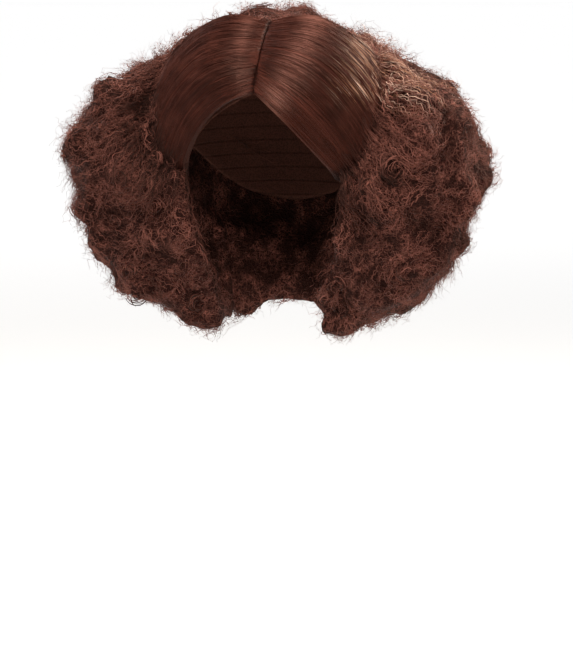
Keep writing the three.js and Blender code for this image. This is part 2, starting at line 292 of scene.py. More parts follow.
PAINTED_SHADE_HAIR = (0.0075, 0.0025, 0.0018)  # painted shade in hollows and at roots
HAIR = (0.05, 0.0168, 0.0122)
LIT_HAIR = (0.152, 0.054, 0.039)
SMOOTH_HAIR = (0.0188, 0.0051, 0.0034)
LIT_SMOOTH_HAIR = (0.046, 0.013, 0.0085)
# painted highlight colour of the band beside the parting
PAINTED_HIGHLIGHT_HAIR = (0.15, 0.062, 0.045)
# painted rim-light glints, from golden to pale
PAINTED_GLINT_HAIR = (0.34, 0.16, 0.085)
PAINTED_PALE_GLINT_HAIR = (0.6, 0.42, 0.32)
WARM_SHINE = (1.0, 0.66, 0.52)
DARK_KNIT = (0.008, 0.0028, 0.002)
KNIT = (0.046, 0.0175, 0.012)
SEWN_ROWS = 0.006  # half the distance between two rows


def hair_shine(look, level):
    look.shader.inputs["Specular IOR Level"].default_value = level
    look.shader.inputs["Specular Tint"].default_value = (*WARM_SHINE, 1)


def strand_look(name, low, high, roughness, shine):
    """Hair whose tone comes from each strand's own number and falls off towards its root as painted shade.
    """
    look = Look(name)
    tone = look.attribute("tone")
    painted_shade_depth = look.attribute("painted_shade_depth")
    painted_glint = look.attribute("painted_glint")
    patch = look.noise(60, 3)
    shade = look.mix(look.ramp(tone * 0.5 + patch * 1.1, 0.5, 1.15), low, high)
    # painted shade towards the roots and in hollows
    shade = look.mix(look.ramp(painted_shade_depth, 0.0, 0.75), PAINTED_SHADE_HAIR, shade)
    # painted highlight: the lighter band beside the parting
    shade = look.mix(look.attribute("painted_highlight"), shade, PAINTED_HIGHLIGHT_HAIR)
    # painted highlight: rim-light glints, golden to pale
    shade = look.mix(painted_glint, shade, look.mix(look.ramp(tone, 0.3, 0.75), PAINTED_GLINT_HAIR, PAINTED_PALE_GLINT_HAIR))
    look.set(Base_Color=shade, Roughness=roughness + tone * 0.12)
    hair_shine(look, shine)
    return look.material


def winding(look, scale, offset, width):
    """Fine winding lines, 1 along a strand's middle and 0 between strands."""
    place = look.place()
    moved = look.node("VectorMath", {"operation": "ADD"}, {0: place, 1: (offset,) * 3})
    drift = look.node("TexNoise", {}, {"Scale": scale * 0.4, "Detail": 1, "Vector": moved}, "Color")
    by = (1.6 / scale,) * 3
    pushed = look.node("VectorMath", {"operation": "MULTIPLY_ADD"}, {0: drift, 1: by, 2: moved})
    grain = look.node("TexNoise", {}, {"Scale": scale, "Detail": 1.5, "Vector": pushed})
    line = look.node("Math", {"operation": "ABSOLUTE"}, {0: grain - 0.5})
    return 1 - look.ramp(line, 0.0, width)


def frizz_look(name):
    """The frizzed mass under the strands: fine winding curls, with painted shade between them and in its
    hollows.
    """
    look = Look(name)
    over = winding(look, 230, 0.0, 0.06)
    under = winding(look, 300, 3.7, 0.07)
    least = winding(look, 420, 7.1, 0.09)
    hollow = look.attribute("hollow")
    curl = look.node("Math", {"operation": "MAXIMUM"}, {0: over, 1: under * 0.7})
    curl = look.node("Math", {"operation": "MAXIMUM"}, {0: curl, 1: least * 0.4})
    clump = look.ramp(look.noise(45, 2), 0.35, 0.65)
    # painted shade between the curls and in the hollows
    tone = curl * (0.55 + clump * 0.45) * (1 - hollow * 0.85)
    shade = look.mix(tone, PAINTED_SHADE_HAIR, HAIR)
    shade = look.mix(tone * look.ramp(look.noise(90, 2), 0.4, 0.65), shade, LIT_HAIR)
    look.set(Base_Color=shade, Roughness=0.85 - curl * 0.2)
    hair_shine(look, 0.05)
    look.bump(curl, 1.0, 0.0016)
    return look.material


def combed_look(name):
    """Combed hair: fine lines that run along the strands, with painted shade where it tucks in above the
    temple and on its front edge, and a painted highlight band.
    """
    look = Look(name)
    across = look.attribute("across")
    along = look.attribute("along")
    flat = look.node("CombineXYZ", {}, {"X": across, "Y": along * 0.035, "Z": 0.0})
    fine = look.noise(190, 3, flat)
    broad = look.noise(38, 2, flat)
    lines = fine * 0.6 + broad * 0.4
    shade = look.mix(look.ramp(lines, 0.34, 0.68), SMOOTH_HAIR, LIT_SMOOTH_HAIR)
    # painted shade where the wing tucks in above the temple and on its front edge
    painted_tuck_shade = look.ramp(along, 0.8, 1.0) * (1 - look.ramp(across, 0.05, 0.55))
    front = 1 - look.ramp(across, -0.014, 0.008)
    shaded = look.node("Math", {"operation": "MAXIMUM"}, {0: painted_tuck_shade * 0.85, 1: front * 0.7})
    # painted highlight: the lighter band beside the parting, broken up by the fine lines
    shade = look.mix(look.attribute("painted_highlight") * look.ramp(fine, 0.35, 0.65), shade, PAINTED_HIGHLIGHT_HAIR)
    shade = look.mix(shaded, shade, PAINTED_SHADE_HAIR)
    look.set(Base_Color=shade, Roughness=0.42 + fine * 0.16 + front * 0.4)
    hair_shine(look, 0.02)
    look.bump(lines, 0.6, 0.0007)
    return look.material


def cap_look(name):
    """A fine stretch knit with sewn rows."""
    look = Look(name)
    place = look.place()
    height = look.node("SeparateXYZ", {}, {0: place}, "Z")
    row = look.node("Math", {"operation": "PINGPONG"}, {0: height, 1: SEWN_ROWS})
    seam = look.ramp(row, 0.0004, 0.0013)
    knit = look.node("TexVoronoi", {}, {"Scale": 700, "Vector": place})
    worn = look.noise(30, 2)
    tone = look.ramp(knit, 0.1, 0.7) * 0.55 + seam * 0.25 + worn * 0.2
    shade = look.mix(tone, DARK_KNIT, KNIT)
    look.set(Base_Color=shade, Roughness=0.92)
    hair_shine(look, 0.06)
    look.bump(knit * 0.5 + seam, 0.5, 0.0008)
    return look.material


# Strands


def unit(vectors):
    return vectors / np.maximum(np.linalg.norm(vectors, axis=-1, keepdims=True), LEAST)


def strand_mesh(name, paths, radii, numbers):
    """One mesh of closed three-sided strands along paths (strand, point, xyz), with each one's numbers."""
    strands, points, _ = paths.shape
    ahead = unit(np.gradient(paths, axis=1))
    middle = paths.mean(1, keepdims=True)
    out = unit(middle - np.array(HEAD_CENTRE))
    side = unit(np.cross(ahead, out + 1e-4))
    top = np.cross(side, ahead)
    places = np.empty((strands, points, STRAND_SIDES, 3))
    for corner in range(STRAND_SIDES):
        angle = 2 * math.pi * corner / STRAND_SIDES
        offset = top * math.cos(angle) + side * math.sin(angle)
        places[:, :, corner] = paths + offset * radii[:, :, None]

    base = (np.arange(strands) * points * STRAND_SIDES)[:, None, None]
    ring = (np.arange(points - 1) * STRAND_SIDES)[None, :, None]
    near = np.arange(STRAND_SIDES)[None, None, :]
    far = (near + 1) % STRAND_SIDES
    corners = [base + ring + near, base + ring + near + STRAND_SIDES]
    corners += [base + ring + far + STRAND_SIDES, base + ring + far]
    walls = np.stack(corners, axis=-1).reshape(-1, 4)
    first = base[:, 0, 0][:, None] + np.arange(STRAND_SIDES)[None, :]
    last = first + (points - 1) * STRAND_SIDES
    ends = np.concatenate([first, last[:, ::-1]])

    mesh = bpy.data.meshes.new(name)
    mesh.vertices.add(places.size // 3)
    mesh.vertices.foreach_set("co", places.astype(np.float32).ravel())
    loops = np.concatenate([walls.ravel(), ends.ravel()]).astype(np.int32)
    mesh.loops.add(len(loops))
    mesh.loops.foreach_set("vertex_index", loops)
    starts = [np.arange(len(walls)) * 4, len(walls) * 4 + np.arange(len(ends)) * STRAND_SIDES]
    starts = np.concatenate(starts)
    mesh.polygons.add(len(starts))
    mesh.polygons.foreach_set("loop_start", starts.astype(np.int32))
    mesh.update(calc_edges=True)
    mesh.polygons.foreach_set("use_smooth", np.ones(len(starts), bool))
    for key, values in numbers.items():
        spread = np.broadcast_to(values[:, :, None], (strands, points, STRAND_SIDES))
        give_numbers(mesh, key, spread)
    piece = bpy.data.objects.new(name, mesh)
    bpy.context.scene.collection.objects.link(piece)
    return piece


def give_numbers(mesh, key, values):
    layer = mesh.attributes.new(key, "FLOAT", "POINT")
    layer.data.foreach_set("value", np.asarray(values, np.float32).ravel())


def spread_over(piece, count, rng, wanted):
    """Places and normals spread evenly over the faces that wanted keeps."""
    mesh = piece.data
    mesh.calc_loop_triangles()
    corners = corners_of(mesh)
    index = np.empty(len(mesh.loop_triangles) * 3, np.int32)
    mesh.loop_triangles.foreach_get("vertices", index)
    tri = corners[index.reshape(-1, 3)]
    cross = np.cross(tri[:, 1] - tri[:, 0], tri[:, 2] - tri[:, 0])
    area = np.linalg.norm(cross, axis=1) / 2
    normals = unit(cross)
    weight = area * wanted(tri.mean(1), normals)
    chosen = rng.choice(len(tri), count, p=weight / weight.sum())
    a, b = rng.random((2, count, 1))
    flip = (a + b) > 1
    a = np.where(flip, 1 - a, a)
    b = np.where(flip, 1 - b, b)
    t = tri[chosen]
    places = t[:, 0] + a * (t[:, 1] - t[:, 0]) + b * (t[:, 2] - t[:, 0])
    return places, normals[chosen]


def follow(surface, starts, headings, points, step, turn):
    """Paths that run over a surface from their starts: points, normals and headings at each point."""
    count = len(starts)
    paths = np.empty((count, points, 3))
    facing = np.empty((count, points, 3))
    ways = np.empty((count, points, 3))
    place, way = starts.copy(), headings.copy()
    for k in range(points):
        for i in range(count):
            spot, normal, _, _ = surface.find_nearest(place[i])
            place[i] = spot
            facing[i, k] = normal
        way = unit(way - facing[:, k] * (way * facing[:, k]).sum(1, keepdims=True))
        other = np.cross(facing[:, k], way)
        angle = turn[:, k, None]
        way = way * np.cos(angle) + other * np.sin(angle)
        paths[:, k] = place
        ways[:, k] = way
        place = place + way * step[:, None]
    return paths, facing, ways


def crimped(paths, facing, ways, height, size, phase, wave):
    """Lifts paths off their surface and winds them in a flattened helix."""
    points = paths.shape[1]
    angle = phase[:, None] + wave[:, None] * np.arange(points)[None, :]
    across = np.cross(facing, ways)
    lifted = paths + facing * (height + size * 0.7 * np.cos(angle))[..., None]
    return lifted + across * (size * np.sin(angle))[..., None]


def clumps_of(roots, rng, strands_each):
    """The clump that each strand belongs to, how many clumps there are, and their middles."""
    centres = roots[rng.integers(0, len(roots), max(len(roots) // strands_each, 4))]
    tree = kdtree.KDTree(len(centres))
    for i, centre in enumerate(centres):
        tree.insert(centre, i)
    tree.balance()
    return np.array([tree.find(root)[1] for root in roots]), len(centres), centres


def frizz(name, core, kind, count, points, rng, wanted):
    """Short crimped strands of one kind that leave a core in loose clumps."""
    roots, normals = spread_over(core, count, rng, wanted)
    clump, clumps, centres = clumps_of(roots, rng, FRIZZ_CLUMP)
    roots = roots + (centres[clump] - roots) * kind["gather"]
    step = rng.uniform(*kind["length"], count) / (points - 1)
    heading = from_the_temples(roots)
    heading = unit(heading - normals * (heading * normals).sum(1, keepdims=True))
    other = np.cross(normals, heading)
    first_turn = rng.normal(0, 1.1, clumps)[clump] + rng.normal(0, 0.22, count)
    heading = heading * np.cos(first_turn)[:, None] + other * np.sin(first_turn)[:, None]
    bend = (rng.normal(0, 100, clumps)[clump] + rng.normal(0, 20, count)) * step
    turn = bend[:, None] + np.zeros(points)
    paths, facing, ways = follow(surface_of(core), roots, heading, points, step, turn)

    share = np.linspace(0, 1, points)[None, :]
    low, high = kind["rise"]
    rise = low + (high - low) * rng.random(count) ** 1.3
    rise = (rise * (1 + 0.7 * patches(roots, 30)))[:, None]
    height = rng.uniform(*kind["start"], count)[:, None] + rise * share**1.2
    size = kind["crimp"] * rng.uniform(0.5, 1.3, (count, 1)) * np.minimum(1, 0.3 + share * 4)
    phase = rng.random(clumps)[clump] * 2 * math.pi + rng.normal(0, 0.45, count)
    wave = 2 * math.pi * step / (kind["wave"] * rng.uniform(0.9, 1.12, count))
    paths = crimped(paths, facing, ways, height, size, phase, wave)

    radii = kind["radius"] * (1 - 0.55 * share**2) * rng.uniform(0.75, 1.25, (count, 1))
    tone = rng.random(clumps)[clump] * 0.7 + rng.random(count) * 0.3
    # a raised least tone is painted light on flyaways and tufts
    tone = (kind["least tone"] + (1 - kind["least tone"]) * tone)[:, None] + 0 * share
    # painted shade: darker near the core's surface and in its hollows
    painted_shade_depth = np.clip((height + 0.001) / 0.004, 0, 1) * (1 - 0.8 * number_near(core, "hollow", roots)[:, None])
    # painted highlight: rim-light glints on some frizz strands
    painted_glint = 0.8 * painted_rim_light_zone(paths) ** 2 * np.clip((PAINTED_GLINT_REAR - paths[..., 1]) / 0.03, 0, 1)
    painted_glint = painted_glint * (rng.random((count, 1)) < 0.3) * rng.random((count, points))
    return strand_mesh(name, paths, radii, {"tone": tone, "painted_shade_depth": painted_shade_depth, "painted_glint": painted_glint})


def patches(places, scale):
    """A smooth number for each place, from about -1 to 1, that changes from patch to patch."""
    return np.array([noise.noise(Vector(place) * scale) for place in places])


def number_near(core, key, places):
    """The core's own number at the corner nearest to each place, and 0 where the core has none."""
    if key not in core.data.attributes:
        return np.zeros(len(places))
    corners = core.data.vertices
    tree = kdtree.KDTree(len(corners))
    for corner in corners:
        tree.insert(corner.co, corner.index)
    tree.balance()
    values = core.data.attributes[key].data
    return np.array([values[tree.find(place)[1]].value for place in places])


# Frizzed masses


def frizz_core(node, name, look):
    """The body of a frizzed mass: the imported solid's form, rounded and clumped, a little inside it."""
    piece = copy_of_node(node, name)
    remesh = piece.modifiers.new("even mesh", "REMESH")
    remesh.mode = "VOXEL"
    remesh.voxel_size = CORE_STEP
    smooth = piece.modifiers.new("round", "SMOOTH")
    smooth.factor = 0.5
    smooth.iterations = 8
    apply_modifiers(piece)
    places = corners_of(piece.data)
    normals = np.empty(len(places) * 3, np.float32)
    piece.data.vertices.foreach_get("normal", normals)
    normals = normals.reshape(-1, 3).astype(float)
    lift = LOBE_HEIGHT * patches(places, LOBE_SCALE) + BUMP_HEIGHT * patches(places, BUMP_SCALE)
    away = (unit(places - np.array(HEAD_CENTRE)) * normals).sum(1)
    wall = np.clip((0.55 - np.abs(away)) / 0.2, 0, 1)
    places = places + normals * (lift - CORE_SINK + WALL_GAIN * wall)[:, None]
    set_corners(piece.data, places)
    # the hollow number carries painted shade into the mass's hollows
    give_numbers(piece.data, "hollow", hollows(piece.data, places, normals))
    piece.data.materials.append(look)
    piece.data.polygons.foreach_set("use_smooth", np.ones(len(piece.data.polygons), bool))
    return piece


def hollows(mesh, places, normals):
    """How far each corner lies below the mesh's own smoothed form, as 0 to 1."""
    edges = np.empty(len(mesh.edges) * 2, np.int32)
    mesh.edges.foreach_get("vertices", edges)
    a, b = edges.reshape(-1, 2).T
    links = np.bincount(np.concatenate([a, b]), minlength=len(places))[:, None]
    even = places.copy()
    for _ in range(HOLLOW_REACH):
        total = np.zeros_like(even)
        np.add.at(total, a, even[b])
        np.add.at(total, b, even[a])
        even = total / links
    below = ((even - places) * normals).sum(1)
    return np.clip((below + 0.0008) / 0.004, 0, 1)


def outer(centres, normals):
    """More on the faces that look away from the head, less on those round the face and neck."""
    away = (unit(centres - np.array(HEAD_CENTRE)) * normals).sum(1)
    over_cap = (away < -0.2) & (centres[:, 2] > CAP_HEM)
    return np.where(over_cap, LEAST, np.clip(away + 0.45, 0.15, 1))


def from_the_temples(places):
    """Flow that spreads from above each temple."""
    source = np.empty_like(places)
    source[:, 0] = np.sign(places[:, 0]) * TEMPLE_SOURCE[0]
    source[:, 1:] = TEMPLE_SOURCE[1:]
    return unit(places - source)


def finish_hair(piece, look):
    piece.data.materials.append(look)
    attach(piece, "root")


def dress_frizz(node, lying, flyaway, rng, looks):
    """A packed mass of curls becomes a body, the frizz that covers it and the frizz that stands out."""
    core = frizz_core(node, node + "_mass", looks["frizz"])
    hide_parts(node)
    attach(core, "root")
    hair = frizz(node + "_frizz", core, LYING, lying, 8, rng, outer)
    finish_hair(hair, looks["strand"])
    hair = frizz(node + "_flyaways", core, FLYAWAY, flyaway, 9, rng, outer)
    finish_hair(hair, looks["strand"])
    return core


def near_spots(centres, normals):
    """The places where tufts stand out."""
    total = np.zeros(len(centres))
    for centre, reach in TUFT_SPOTS:
        away = np.linalg.norm(centres - np.array(centre), axis=1) / reach
        total += np.exp(-(away**2))
    return total * ((unit(centres - np.array(HEAD_CENTRE)) * normals).sum(1) > 0.2)


def over_gaps(surface):
    """A measure of where a bridging surface spans a gap between the masses."""

    def wanted(centres, normals):
        away = (unit(centres - np.array(HEAD_CENTRE)) * normals).sum(1)
        gap = np.zeros(len(centres))
        for i, (centre, normal) in enumerate(zip(centres, normals)):
            start = Vector(centre + normal * GAP_START)
            distance = surface.ray_cast(start, Vector(-normal), 0.04)[3]
            gap[i] = distance is None or distance - GAP_START > GAP_DEPTH
        return gap * (away > 0.35) + LEAST

    return wanted


def wing_rear(body):
    """A measure of where a wing meets the frizz behind it and above the temple."""

    def wanted(centres, normals):
        share = number_near(body, "across", centres)
        run = number_near(body, "along", centres)
        away = (unit(centres - np.array(HEAD_CENTRE)) * normals).sum(1)
        behind = np.clip((share - 0.8) / 0.2, 0, 1) ** 2
        return np.maximum(behind, (run > 0.94) & (share > 0.3)) * (away > -0.2) + LEAST

    return wanted


# Combed wings


def heading_at(azimuth, elevation):
    azimuth = np.radians(azimuth)
    elevation = np.radians(elevation)
    level = np.cos(elevation)
    return np.stack([level * np.sin(azimuth), -level * np.cos(azimuth), np.sin(elevation)], axis=-1)


def wing_heading(side, share, run):
    """Directions from the head's centre to a wing's points.

    The share goes from the hairline to the crown, the run from the parting to the strand's end.
    """
    start = heading_at(0 * share, HAIRLINE + (CROWN_EDGE - HAIRLINE) * share)
    start[..., 0] += PARTING_OFFSET
    start = unit(start)
    table = np.array(WING_END)
    end_azimuth = np.interp(share, table[:, 0], table[:, 1])
    end_elevation = np.interp(share, table[:, 0], table[:, 2])
    end = heading_at(end_azimuth, end_elevation)
    angle = np.arccos(np.clip((start * end).sum(-1), -1, 1))[..., None]
    run = run[..., None]
    way = (start * np.sin(angle * (1 - run)) + end * np.sin(angle * run)) / np.sin(angle)
    way = unit(way)
    azimuth = np.degrees(np.arctan2(way[..., 0], -way[..., 1]))
    elevation = np.degrees(np.arcsin(np.clip(way[..., 2], -1, 1)))
    bow = WING_BOW[side] * np.sin(np.pi * np.clip(run[..., 0], 0, 1)) * (1 - share) ** 2
    way = heading_at(azimuth, elevation + bow)
    if side == "right":
        way[..., 0] *= -1
    return way


def wing_reach(side, surface):
    """How far the wing's outside lies from the head's centre, as found and evened along the run.

    Both are grids, of shares and runs.
    """
    share, run = np.meshgrid(REACH_SHARES, REACH_RUNS, indexing="ij")
    ways = wing_heading(side, share, run)
    reach = np.full(share.shape, np.nan)
    for i, j in np.ndindex(reach.shape):
        way = Vector(ways[i, j])
        hit = surface.ray_cast(HEAD_CENTRE + way * OUT_OF_REACH, -way)[0]
        if hit is not None:
            reach[i, j] = (hit - HEAD_CENTRE).length
    for lines in (reach, reach.T):
        for line in lines:
            known = ~np.isnan(line)
            if known.any():
                line[:] = np.interp(np.arange(len(line)), np.arange(len(line))[known], line[known])
    even = reach.copy()
    for _ in range(REACH_ROUNDS):
        padded = np.pad(even, ((0, 0), (1, 1)), mode="reflect", reflect_type="odd")
        even = (padded[:, :-2] + 2 * even + padded[:, 2:]) / 4
    even -= REAR_ROUNDING * np.clip((share - 0.86) / 0.14, 0, 1) ** 2
    even -= END_ROUNDING * np.clip((run - 0.9) / 0.1, 0, 1) ** 2
    return reach, even


def reach_at(grid, share, run):
    """The grid's value at each share and run."""
    row = np.interp(share, REACH_SHARES, np.arange(len(REACH_SHARES)))
    column = np.interp(run, REACH_RUNS, np.arange(len(REACH_RUNS)))
    i = np.minimum(row.astype(int), len(REACH_SHARES) - 2)
    j = np.minimum(column.astype(int), len(REACH_RUNS) - 2)
    a, b = row - i, column - j
    upper = grid[i, j] * (1 - b) + grid[i, j + 1] * b
    lower = grid[i + 1, j] * (1 - b) + grid[i + 1, j + 1] * b
    return upper * (1 - a) + lower * a


def wing_body(side, look):
    """The body of a wing, its facets evened out, with each point's place across and along the strands."""
    node = "swept_wing_" + side
    piece = copy_of_node(node, node + "_body")
    remesh = piece.modifiers.new("even mesh", "REMESH")
    remesh.mode = "VOXEL"
    remesh.voxel_size = WING_STEP
    smooth = piece.modifiers.new("round", "SMOOTH")
    smooth.factor = 0.5
    smooth.iterations = 4
    apply_modifiers(piece)
    share, run = np.meshgrid(np.linspace(-0.02, 1.02, 160), np.linspace(-0.02, 1.04, 90), indexing="ij")
    share, run = share.ravel(), run.ravel()
    ways = wing_heading(side, np.clip(share, 0, 1), run)
    tree = kdtree.KDTree(len(ways))
    for i, way in enumerate(ways):
        tree.insert(way, i)
    tree.balance()
    places = corners_of(piece.data)
    toward = unit(places - np.array(HEAD_CENTRE))
    near = np.array([tree.find(way)[1] for way in toward])
    share, run = share[near], run[near]
    reach, even = wing_reach(side, surface_of(piece))
    raw = reach_at(reach, share, run)
    distance = np.linalg.norm(places - np.array(HEAD_CENTRE), axis=1)
    outside = np.clip((distance - raw + 0.008) / 0.006, 0, 1)
    distance = distance + (reach_at(even, share, run) - raw) * outside
    places = np.array(HEAD_CENTRE) + toward * distance[:, None]
    closing = PARTING_CLOSING * np.clip(1 - np.abs(places[:, 0]) / PARTING_REACH, 0, 1)
    level = np.abs(places[:, 0])
    places[:, 0] = np.sign(places[:, 0]) * np.maximum(level - closing, np.minimum(level, PARTING_SLOT))
    set_corners(piece.data, places)
    give_numbers(piece.data, "across", share)
    give_numbers(piece.data, "along", run)
    # painted highlight band on the wing's body
    give_numbers(piece.data, "painted_highlight", 0.6 * painted_highlight_band(side, share, run))
    piece.data.materials.append(look)
    piece.data.polygons.foreach_set("use_smooth", np.ones(len(piece.data.polygons), bool))
    return piece, even


def wing_strands(side, reach, count, points, rng):
    """Combed strands that lie on a wing from the parting to the temple, some of them on its front edge."""
    edge = rng.random(count) < EDGE_STRANDS
    share = np.where(edge, rng.uniform(-0.006, 0.003, count), rng.random(count) ** 0.9)
    along = np.linspace(0, 1, points)[None, :]
    lane = share[:, None] + 0.008 * np.sin(along * 6 + rng.random((count, 1)) * 6) * ~edge[:, None]
    late = rng.random(count) < 0.4
    first = np.where(late, rng.uniform(-0.01, 0.12, count), rng.uniform(-0.004, 0.003, count))
    short = rng.random(count) < 0.35
    last = np.where(short, rng.uniform(0.7, 1, count), rng.uniform(1, 1.07, count))
    run = first[:, None] + (last - first)[:, None] * along**START_CROWDING
    ways = wing_heading(side, lane, run)
    height = rng.uniform(0.0003, 0.0012, count)[:, None] * np.sin(np.pi * (0.06 + 0.88 * along))
    height = height + 0.0005 * np.clip((0.07 - run) / 0.07, 0, 1)
    height = height - 0.0009 * np.clip((0.012 - run) / 0.012, 0, 1)
    sunk = -rng.uniform(0, 1, (count, 1)) * (0.0025 + 0.004 * run)
    distance = reach_at(reach, lane, run) + np.where(edge[:, None], sunk, height)
    paths = np.array(HEAD_CENTRE) + ways * distance[..., None]
    radii = COMBED_RADIUS * (1 - 0.5 * along**3) * rng.uniform(0.7, 1.3, (count, 1))
    tone = rng.random((count, 1)) * 0.8 + 0 * along
    # painted shade: darker where the strands turn in above the temple and at the parting
    painted_shade_depth = (0.35 + 0.65 * rng.random((count, 1))) * (1 - 0.8 * temple_shade(lane, run))
    painted_shade_depth = painted_shade_depth * np.clip(run / 0.008, 0.25, 1)
    # painted highlight: rim-light glints in spots along some combed strands
    glint = rng.random((count, points)) < 0.3
    painted_glint = painted_rim_light_zone(paths) ** 3 * glint * rng.uniform(0.2, 1, (count, 1))
    # painted highlight band on the combed strands
    painted_highlight = painted_highlight_band(side, lane, run) * rng.uniform(0.1, 1, (count, 1))
    numbers = {"tone": tone, "painted_shade_depth": painted_shade_depth, "painted_glint": painted_glint, "painted_highlight": painted_highlight}
    return strand_mesh("swept_wing_" + side + "_strands", paths, radii, numbers)


def painted_highlight_band(side, share, run):
    """How much of its painted highlight band a place on a wing shows."""
    painted_highlight = PAINTED_HIGHLIGHT_BAND[side]
    return painted_highlight["level"] * np.exp(-(((run - painted_highlight["start"] - painted_highlight["slant"] * share) / painted_highlight["width"]) ** 2))


def painted_rim_light_zone(paths):
    """Where painted rim-light glints go on the hair on the wearer's upper left side."""
    sideways = np.clip((paths[..., 0] - PAINTED_GLINT_START[0]) / PAINTED_GLINT_FADE[0], 0, 1)
    upwards = np.clip((paths[..., 2] - PAINTED_GLINT_START[1]) / PAINTED_GLINT_FADE[1], 0, 1)
    return sideways * upwards


def temple_shade(share, run):
    """How far a wing's strands have turned in under the hair above the temple."""
    return np.clip((run - 0.8) / 0.2, 0, 1) * np.clip(1.1 - share * 2, 0, 1)


def dress_wing(side, strands, points, rng, looks):
    body, reach = wing_body(side, looks["combed"])
    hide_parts("swept_wing_" + side)
    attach(body, "root")
    hair = wing_strands(side, reach, strands, points, rng)
    finish_hair(hair, looks["combed strand"])
    return body


def shell_of(pieces):
    """The corners and faces of several pieces together."""
    places, faces = [], []
    for piece in pieces:
        first = len(places)
        places.extend(tuple(corner.co) for corner in piece.data.vertices)
        faces.extend([first + i for i in face.vertices] for face in piece.data.polygons)
    return places, faces


def bridged(places, faces):
    """The outside of several pieces as one even mesh, with the gaps between them closed."""
    mesh = bpy.data.meshes.new("bridge")
    mesh.from_pydata(places, [], faces)
    piece = bpy.data.objects.new("bridge", mesh)
    bpy.context.scene.collection.objects.link(piece)
    remesh = piece.modifiers.new("even mesh", "REMESH")
    remesh.mode = "VOXEL"
    remesh.voxel_size = BRIDGE_STEP
    smooth = piece.modifiers.new("round", "SMOOTH")
    smooth.factor = 0.5
    smooth.iterations = 6
    apply_modifiers(piece)
    return piece


def clear_of(paths, facing, surface):
    """How far each point has to rise to lie on the surface, evened out along each strand."""
    lift = np.zeros(paths.shape[:2])
    for i, j in np.ndindex(lift.shape):
        way = Vector(facing[i, j])
        far = Vector(paths[i, j]) + way * CLEARING
        distance = surface.ray_cast(far, -way, 0.035)[3]
        lift[i, j] = CLEARING - distance if distance is not None else 0
    padded = np.pad(lift, ((0, 0), (3, 3)), mode="edge")
    even = sum(padded[:, k : k + lift.shape[1]] for k in range(7)) / 7
    return np.maximum(even, lift)


def tails(side, bridge, surface, count, points, rng):
    """Strands that leave the wing's rear edge and turn crimped as they lie over the frizzed hair."""
    share = rng.uniform(0.02, 1, count)
    run = rng.uniform(0.8, 0.99, count)
    ways = wing_heading(side, share, run)
    ahead = wing_heading(side, share, run + 0.02)
    starts = np.empty_like(ways)
    for i, way in enumerate(ways):
        far = HEAD_CENTRE + Vector(way) * OUT_OF_REACH
        hit = bridge.ray_cast(far, -Vector(way))[0]
        starts[i] = hit if hit is not None else HEAD_CENTRE + Vector(way) * 0.1
    clump, clumps, _ = clumps_of(starts, rng, TAIL_CLUMP)
    step = rng.uniform(*TAIL_LENGTH, count) / (points - 1)
    bend = (rng.normal(0, 9, clumps)[clump] + rng.normal(0, 9, count)) * step
    turn = bend[:, None] * np.linspace(0, 2, points)[None, :]
    paths, facing, headings = follow(bridge, starts, unit(ahead - ways), points, step, turn)
    along = np.linspace(0, 1, points)[None, :]
    crimp = np.clip((run[:, None] + along * 0.4 - 0.9) * 5, 0, 1)
    height = clear_of(paths, facing, surface) + 0.0003 + rng.uniform(0.001, 0.006, count)[:, None] * crimp
    size = TAIL_CRIMP * crimp * rng.uniform(0.6, 1.3, (count, 1))
    height = height + size * 0.6 - 0.003 * along**6
    phase = rng.random(clumps)[clump] * 2 * math.pi + rng.normal(0, 0.5, count)
    wave = 2 * math.pi * step / TAIL_WAVE
    paths = crimped(paths, facing, headings, height, size, phase, wave)
    radii = TAIL_RADIUS * (1 - 0.5 * along**2) * rng.uniform(0.7, 1.3, (count, 1))
    tone = (rng.random(clumps)[clump] * 0.6 + rng.random(count) * 0.4)[:, None] * np.clip(along * 3, 0.15, 1)
    shaded = np.maximum(0.75 * np.clip(1.2 - share * 3, 0, 1), GROOVE_SHADE[side] * (share < 0.75))[:, None]
    shaded = shaded * np.clip(1.4 - np.abs(along - 0.35) * 2.5, 0, 1)
    # painted shade: darker at the tails' start and in the groove beside the side curls
    painted_shade_depth = (0.45 + 0.55 * rng.random((count, 1))) * (1 - shaded) * np.clip(0.45 + along * 2.5, 0, 1)
    # painted highlight: rim-light glints where the tails turn crimped
    painted_glint = painted_rim_light_zone(paths) * (rng.random((count, 1)) < 0.75) * rng.uniform(0.15, 1, (count, 1))
    painted_glint = painted_glint * np.clip(crimp + 0.4, 0, 1) * np.clip(along * 4, 0, 1)
    painted_glint = painted_glint * rng.uniform(0.3, 1, (count, points))
    numbers = {"tone": tone, "painted_shade_depth": painted_shade_depth, "painted_glint": painted_glint}
    return strand_mesh("swept_wing_" + side + "_tails", paths, radii, numbers)


# Rolled curls and ringlets


